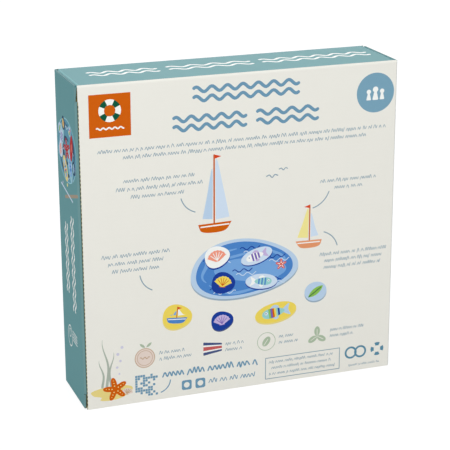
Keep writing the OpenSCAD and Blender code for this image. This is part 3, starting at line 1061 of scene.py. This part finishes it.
def sheet_maps(flat, corners, rim):
    """The texture map's points for the sheet's outer faces, inner faces and rim. The outer side keeps its
    flat shape, the inner one is squeezed in beside it, and the rim lies over the inner one's edge."""
    gap, end, rim_width = 0.015, 0.98, 0.002
    low, span = flat.min(0), np.ptp(flat, axis=0)
    tall = (flat - low) / span.max()
    across = span[0] / span.max()
    squeezed_x = across + gap + (flat[:, 0] - low[0]) / span[0] * (end - across)
    squeezed = columns(squeezed_x, tall[:, 1])
    a, b = squeezed[rim[:, 0]], squeezed[rim[:, 1]]
    way = (b - a) / np.maximum(np.linalg.norm(b - a, axis=1), 1e-9)[:, None]
    inward = columns(-way[:, 1], way[:, 0]) * rim_width
    rim_map = np.stack([b, a, a + inward, b + inward], 1)
    return [part.reshape(-1, 2) for part in (tall[corners], squeezed[corners[:, ::-1]], rim_map)]


def fill(data, key, values):
    """Gives a layer its numbers, one for each point or corner."""
    data.foreach_set(key, np.asarray(values, np.float32).ravel())


def printed_sheet(name, plan, fold, material, body):
    """A printed liner with its true thickness: the flat plan folded to its place, once a little outside
    the board's face and once inside it, with a strip round the rim. The ink is kept on the corners."""
    flat, corners, colours = plan
    inner = corners[:, ::-1]
    point, side = fold(flat)
    count = len(flat)
    rim, owner = rim_edges(corners)
    places = np.concatenate([point + side * PROUD, point - side * LINER]) * MM
    quads = columns(rim[:, 1], rim[:, 0], rim[:, 0] + count, rim[:, 1] + count)
    faces = corners.tolist() + (inner + count).tolist() + quads.tolist()
    mesh = bpy.data.meshes.new(name)
    mesh.from_pydata(places.tolist(), [], faces, shade_flat=False)
    rim_side = np.cross(point[rim[:, 1]] - point[rim[:, 0]], side[rim[:, 0]])
    rim_side /= np.maximum(np.linalg.norm(rim_side, axis=1), 1e-9)[:, None]
    normals = [side[corners].reshape(-1, 3), -side[inner].reshape(-1, 3), np.repeat(rim_side, 4, 0)]
    mesh.normals_split_custom_set(np.concatenate(normals).tolist())
    paper = np.tile(linear(INKS["paper"]), (3 * len(corners), 1))
    ink = np.concatenate([np.repeat(colours, 3, 0), paper, np.repeat(colours[owner], 4, 0)])
    ink_layer = mesh.color_attributes.new("ink", "FLOAT_COLOR", "CORNER")
    fill(ink_layer.data, "color", columns(ink, np.ones(len(ink))))
    flat_layer = mesh.attributes.new("flat", "FLOAT_VECTOR", "POINT")
    fill(flat_layer.data, "vector", columns(np.tile(flat, (2, 1)), np.zeros(2 * count)))
    fill(mesh.uv_layers.new(name="OFBake").uv, "vector", np.concatenate(sheet_maps(flat, corners, rim)))
    return rest_on(added(name, mesh), material, body)


def added(name, data):
    """A new object with its data, in the scene."""
    made = bpy.data.objects.new(name, data)
    bpy.context.scene.collection.objects.link(made)
    return made


def rest_on(piece, material, body=None):
    """Gives a piece its material and slot, and lets it ride on its body."""
    piece.data.materials.append(material)
    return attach(piece, body) if body else piece


def fold_core(name, axis, inward, across, material):
    """The board inside a hinge fold, which fills the fold when it opens: a thin upright slab on the mitre,
    from near the hinge's axis to the inner face. It is a row of sections of four corners, with a cap at
    each end."""
    half_thick, near, far, spans, play = 0.25, 0.12, BOARD - 0.03, 12, 0.1
    across = np.array(across)
    t = np.linspace(-half_thick, half_thick, spans + 1)
    z = (END_PLAY + play, HIGH - END_PLAY - play)
    grid = np.stack(np.meshgrid(t, (near, far), z, indexing="ij"), -1).reshape(-1, 3)
    plan = np.array(axis) + grid[:, :1] * across + grid[:, 1:2] * np.array(inward)
    places = columns(plan, grid[:, 2]) * MM
    section = (0, 1, 3, 2)
    last = 4 * spans
    faces = [section, tuple(last + k for k in section[::-1])]
    for i in range(0, last, 4):
        faces += [(i + p, i + 4 + p, i + 4 + q, i + q) for p, q in zip(section, (1, 3, 2, 0))]
    mesh = bpy.data.meshes.new(name)
    mesh.from_pydata(places.tolist(), [], faces)
    piece = rest_on(added(name, mesh), material)
    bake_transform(piece)
    return piece


def feed(made, inputs):
    """Links a node's inputs to sockets, or sets them to values."""
    for key, value in dict(inputs).items():
        if isinstance(value, bpy.types.NodeSocket):
            made.id_data.links.new(value, made.inputs[key])
        else:
            made.inputs[key].default_value = value


def node(tree, kind, inputs=(), **settings):
    """A shader node with its settings and its inputs."""
    made = tree.nodes.new("ShaderNode" + kind)
    for key, value in settings.items():
        setattr(made, key, value)
    feed(made, inputs)
    return made


def math_node(tree, operation, *values, kind="Math"):
    """The result of one sum, of numbers or of vectors."""
    return node(tree, kind, dict(enumerate(values)), operation=operation).outputs[0]


def product(tree, first, *others):
    """Values multiplied together."""
    for value in others:
        first = math_node(tree, "MULTIPLY", first, value)
    return first


def mapped(tree, value, low, high, to_low=0.0, to_high=1.0):
    """A value carried evenly from between low and high to between two others, and held there."""
    limits = {"From Min": low, "From Max": high, "To Min": to_low, "To Max": to_high}
    return node(tree, "MapRange", {"Value": value, **limits}).outputs[0]


def noise(tree, place, scale, detail, **inputs):
    """Soft noise between nought and one."""
    return node(tree, "TexNoise", {"Vector": place, "Scale": scale, "Detail": detail, **inputs}).outputs[0]


def scaled(tree, vector, scale):
    """A vector or colour times a number."""
    return node(tree, "VectorMath", {0: vector, "Scale": scale}, operation="SCALE").outputs[0]


def laid_over(tree, mask, under, over):
    """One colour over another by a mask."""
    return node(tree, "Mix", {0: mask, 6: under, 7: over}, data_type="RGBA").outputs[2]


def object_parts(tree):
    """The three parts of a place on the solids, in metres."""
    at = node(tree, "TexCoord").outputs["Object"]
    return node(tree, "SeparateXYZ", {0: at}).outputs


# What each board finish sets in the shared group, in this order
BOARD_INPUTS = "Fibre size", "Fibre stretch", "Mottle", "Flute relief", "Fibre relief", "Sag relief"


def board_group():
    """What the printed and the raw side share: mottling from the paper's fibres, and a relief of the
    fibres, of the flutes that show through, and of the panel's slight unevenness. Its place is in
    millimetres, with the flutes a pitch apart along its second direction."""
    tree = bpy.data.node_groups.new("board surface", "ShaderNodeTree")
    sockets = [("Place", "INPUT", "Vector"), ("Colour", "INPUT", "Color")]
    sockets += [(name, "INPUT", "Float") for name in BOARD_INPUTS]
    sockets.append(("Colour", "OUTPUT", "Color"))
    sockets += [(name, "OUTPUT", "Float") for name in ("Height", "Mask")]
    for name, way, kind in sockets:
        tree.interface.new_socket(name=name, in_out=way, socket_type="NodeSocket" + kind)
    cloud_size, sag_size = 22, 90
    sums, times = partial(math_node, tree), partial(product, tree)
    given = tree.nodes.new("NodeGroupInput").outputs
    place = given["Place"]
    shrunk = sums("DIVIDE", 1.0, given["Fibre stretch"])
    stretch = node(tree, "CombineXYZ", {"X": shrunk, "Y": 1.0, "Z": 1.0}).outputs[0]
    laid = sums("MULTIPLY", place, stretch, kind="VectorMath")
    fibre = noise(tree, laid, sums("DIVIDE", 1.0, given["Fibre size"]), 3.0)
    cloud = noise(tree, place, 1 / cloud_size, 4.0)
    sag = noise(tree, place, 1 / sag_size, 1.0)
    mottle = times(sums("SUBTRACT", sums("ADD", fibre, cloud), 1.0), given["Mottle"])
    along = node(tree, "SeparateXYZ", {0: place}).outputs["Y"]
    flutes = times(sums("SINE", times(along, 2 * math.pi / FLUTE)), given["Flute relief"])
    relief = sums("ADD", flutes, times(fibre, given["Fibre relief"]))
    result = {
        "Colour": scaled(tree, given["Colour"], sums("ADD", mottle, 1.0)),
        "Height": sums("ADD", relief, times(sag, given["Sag relief"])),
        "Mask": fibre,
    }
    feed(tree.nodes.new("NodeGroupOutput"), result)
    return tree


def board_material(name, group, place, colour, finish, values):
    """A board finish: the shared surface on a place in millimetres, with a colour. The finish is its
    roughness, how far the fibres vary that, and its gloss."""
    material = bpy.data.materials.new(name)
    material.use_nodes = True
    tree = material.node_tree
    inputs = {"Place": place(tree), "Colour": colour(tree), **dict(zip(BOARD_INPUTS, values))}
    made = node(tree, "Group", inputs, node_tree=group).outputs
    bump = node(tree, "Bump", {"Height": made["Height"], "Strength": 1.0, "Distance": RELIEF_UNIT})
    roughness, spread, gloss = finish
    surface = {
        "Base Color": made["Colour"],
        "Roughness": mapped(tree, made["Mask"], 0.0, 1.0, roughness - spread, roughness + spread),
        "Normal": bump.outputs[0],
        "Specular IOR Level": gloss,
    }
    feed(tree.nodes["Principled BSDF"], surface)
    return material


def flat_place(tree):
    """A printed sheet's own flat place in millimetres."""
    return node(tree, "Attribute", attribute_name="flat").outputs["Vector"]


def ink_colour(tree):
    """The ink on a printed sheet, rubbed pale in specks along the carton's edges, as wear and as painted
    highlight. The nearest edge is as far off as the second nearest of the three pairs of faces."""
    rub_from, rub_to, speck_scale = 1.5 * MM, 0.3 * MM, 420.0
    ink = node(tree, "Attribute", attribute_name="ink").outputs["Color"]
    at = node(tree, "TexCoord").outputs["Object"]
    sums, vectors = partial(math_node, tree), partial(math_node, tree, kind="VectorMath")
    reach = vectors("ABSOLUTE", vectors("SUBTRACT", at, (0, 0, HIGH * MM / 2)))
    half = tuple(side * MM / 2 for side in (WIDE, DEEP, HIGH))
    a, b, c = node(tree, "SeparateXYZ", {0: vectors("SUBTRACT", half, reach)}).outputs
    larger = sums("MINIMUM", sums("MAXIMUM", a, b), c)
    edge = sums("MAXIMUM", sums("MINIMUM", a, b), larger)
    speck = mapped(tree, noise(tree, at, speck_scale, 5.0, Roughness=0.7), 0.38, 0.68)
    amount = product(tree, mapped(tree, edge, rub_from, rub_to), speck, RUB_AND_HIGHLIGHT)
    return laid_over(tree, amount, ink, rgba(INKS["paper"]))


def step_mask(tree, value, low, high):
    """A mask that goes from nought at low to one at high, both in millimetres."""
    return mapped(tree, value, low * MM, high * MM)


def kraft_colour(tree):
    """Raw board, with painted shade deep in its flutes and in narrow hollows, and a grey-brown painted as
    shade along the upright cut edges where the closures tuck in. At the carton's upper corners the liners
    are pressed over the cut edges, in a teal painted lighter against the shade inside a closure and darker
    as shade over a shoulder's end. Each mask is a product of steps."""
    x, y, z = object_parts(tree)
    sums, times = partial(math_node, tree), partial(product, tree)
    step = partial(step_mask, tree)
    out = sums("ABSOLUTE", x)
    # Across the carton, towards the panel that has its raw edge at this end
    across = sums("MULTIPLY", y, sums("SIGN", x))
    shade_band_y, corner_z, soft = HALF_D - BOARD - SHOULDER_PLAY - 2, SHOULDER_H - 2, 0.2
    shade_band = step(across, shade_band_y - soft, shade_band_y + soft)
    # Painted shade: the upright cut edges beside the closures turn a darker grey-brown
    edge = times(step(out, RAW_X - 0.4, RAW_X - 0.1), shade_band)
    # Painted shade on the walls of the flutes' mouths along the raw edges
    in_mouth = step(out, RAW_X - 0.1, RAW_X - 0.2), step(out, CREASE_X + 0.2, CREASE_X + 0.3)
    mouth_shade = times(*in_mouth, step(across, HALF_D - BOARD + 0.02, HALF_D - BOARD + 0.04))
    # The lap reaches from the outer face over the closure's board and over the panel's, most at the corner
    rise = sums("SUBTRACT", z, (HIGH - SHOULDER_H) * MM)
    closure_lap = sums("ADD", times(rise, 0.1), 0.4 * MM)
    lapped = sums("GREATER_THAN", sums("ADD", out, closure_lap), HALF_W * MM)
    raw_side = step(out, RAW_X, RAW_X + 0.05), step(across, 0, 1)
    # Painted shade: a darker teal where the liner laps over a shoulder's end
    over_closure = times(lapped, step(rise, 0.0, 0.1), *raw_side)
    # Painted light: a paler teal on the closure's inner face at the upper corner, against the shade in the
    # gap there
    corner_lap = times(step(rise, corner_z - soft, corner_z + soft), step(out, RAW_X - 0.1, RAW_X))
    panel_lap = times(sums("SUBTRACT", rise, 5 * MM), 0.22)
    lapped = sums("GREATER_THAN", sums("ADD", across, panel_lap), HALF_D * MM)
    over_panel = times(lapped, step(out, RAW_X + 0.1, RAW_X + 0.05))
    # Painted shade in narrow hollows, from ambient occlusion
    sky = node(tree, "AmbientOcclusion", {"Distance": 2 * MM}, only_local=True, samples=6)
    ao_shade = mapped(tree, sky.outputs["AO"], 1.0, 0.5)
    layers = (
        (edge, CUT_EDGE_SHADE),
        (sums("MAXIMUM", ao_shade, mouth_shade), FLUTE_SHADE),
        (over_panel, INKS["paper"]),
        (corner_lap, INKS["highlight teal"]),
        (over_closure, INKS["shaded teal"]),
    )
    colour = rgba(KRAFT)
    for mask, over in layers:
        colour = laid_over(tree, mask, colour, rgba(over))
    return colour


def kraft_place(tree):
    """A place in millimetres on the raw board, with the flutes apart along Y and Z alike."""
    x, y, z = object_parts(tree)
    both = math_node(tree, "ADD", y, z)
    joined = node(tree, "CombineXYZ", {"X": x, "Y": both, "Z": y}).outputs[0]
    return scaled(tree, joined, 1 / MM)


def seen_directly(tree):
    """One for the camera's view, in reflections and through clear things, and nought for other light."""
    light = node(tree, "LightPath").outputs
    seen = math_node(tree, "MAXIMUM", light["Is Camera Ray"], light["Is Transmission Ray"])
    return math_node(tree, "MAXIMUM", seen, light["Is Glossy Ray"])


# The room's light on the carton, where what the camera sees of the room is one
AMBIENT = 0.6
# The floor's own glow, the grey that takes the shadow, and the grey that other light meets
FLOOR_GLOW = 0.86
FLOOR_GREYS = 0.2, 0.6
# Each lamp's name, place and size in metres, and power in watts
LAMPS = (
    ("key lamp", (-0.35, -1.5, 1.15), 1.1, 14.5),
    ("top lamp", (-0.2, 0.1, 2.4), 1.8, 4.0),
    ("back lamp", (0.95, 2.7, 1.15), 1.6, 24.0),
    ("left lamp", (-2.0, -0.2, 0.9), 1.2, 4.0),
)


def studio():
    """A white room, a pale floor that keeps the carton's shadow, and four soft lamps."""
    scene = bpy.context.scene
    scene.view_settings.view_transform = "Standard"
    scene.world = bpy.data.worlds.new("room")
    scene.world.use_nodes = True
    tree = scene.world.node_tree
    strength = mapped(tree, seen_directly(tree), 0.0, 1.0, AMBIENT, 1.0)
    feed(tree.nodes["Background"], {"Color": (1, 1, 1, 1), "Strength": strength})
    reach, drop = 6.0, -0.0002
    square = [(x * reach, y * reach, drop) for x, y in ((-1, -1), (1, -1), (1, 1), (-1, 1))]
    mesh = bpy.data.meshes.new("floor")
    mesh.from_pydata(square, [], [(0, 1, 2, 3)])
    mesh.materials.append(floor_material())
    added("floor", mesh)
    for name, place, size, power in LAMPS:
        lamp = bpy.data.lights.new(name, "AREA")
        lamp.shape = "DISK"
        lamp.size = size
        lamp.energy = power
        lamp_object = added(name, lamp)
        lamp_object.location = place
        aim = Vector((0, 0, HIGH * MM / 2)) - Vector(place)
        lamp_object.rotation_euler = aim.to_track_quat("-Z", "Y").to_euler()


def floor_material():
    """White as the camera and reflections see it, apart from a faint shadow, and pale for other light."""
    material = bpy.data.materials.new("floor paper")
    material.use_nodes = True
    tree = material.node_tree
    tree.nodes.remove(tree.nodes["Principled BSDF"])
    glow = node(tree, "Emission", {"Color": (1, 1, 1, 1), "Strength": FLOOR_GLOW}).outputs[0]
    shade, plain = (
        node(tree, "BsdfDiffuse", {"Color": (grey, grey, grey, 1)}).outputs[0] for grey in FLOOR_GREYS
    )
    shown = node(tree, "AddShader", {0: glow, 1: shade}).outputs[0]
    mixed = node(tree, "MixShader", {0: seen_directly(tree), 1: plain, 2: shown}).outputs[0]
    feed(tree.nodes["Material Output"], {"Surface": mixed})
    return material


def camera():
    """A long lens at the photograph's viewing angle: from the back left, and a little above."""
    yaw, pitch, roll = math.radians(19.77), math.radians(17.828), math.radians(-0.203)
    across = math.cos(pitch)
    ahead = Vector((math.sin(yaw) * across, math.cos(yaw) * across, -math.sin(pitch)))
    lens = bpy.data.cameras.new("camera")
    lens.lens = 125.14
    lens.sensor_width = 36
    lens.clip_start = 0.05
    lens.clip_end = 50
    eye = added("camera", lens)
    eye.location = (-0.3925, -1.0843, 0.4944)
    level = ahead.to_track_quat("-Z", "Y")
    eye.rotation_euler = (level @ Quaternion((0, 0, 1), roll)).to_euler()
    bpy.context.scene.camera = eye


def carton():
    """The raw board on the solids, the printed liners round them and the cores of the two hinge folds."""
    group = board_group()
    finish, values = (0.8, 0.06, 0.2), (0.6, 3.0, 0.28, 2.0, 3.0, 20.0)
    kraft = board_material("raw kraft board", group, kraft_place, kraft_colour, finish, values)
    finish, values = (0.6, 0.05, 0.1), (0.4, 1.4, 0.02, 0.6, 0.5, 60.0)
    printed = board_material("printed liner", group, flat_place, ink_colour, finish, values)
    for solid in frame["nodes"].values():
        solid.data.materials.clear()
        solid.data.materials.append(kraft)
    sleeve_plan = cut_flat(sleeve_outlines(), sleeve_creases(), sleeve_marks())
    closure_plan = cut_flat(closure_outlines(), closure_creases(), closure_sheet_marks())
    sheets = (
        ("sleeve_print", sleeve_plan, fold_sleeve, "sleeve_board", "sleeve"),
        ("left_closure_print", closure_plan, fold_closure, "closure_board", "left_end"),
        ("right_closure_print", closure_plan, half_turned(fold_closure), "closure_board", "right_end"),
    )
    for name, plan, fold, slot, body in sheets:
        printed_sheet(name, plan, fold, printed, body)
    lean = math.sqrt(0.5)
    for name, way, end in (("left_fold", 1, "left_end"), ("right_fold", -1, "right_end")):
        axis = (way * AXIS_X, way * AXIS_Y)
        inward, across = (way * lean, -way * lean), (-way * lean, -way * lean)
        fold_core(name, axis, inward, across, kraft)


camera()
studio()
carton()
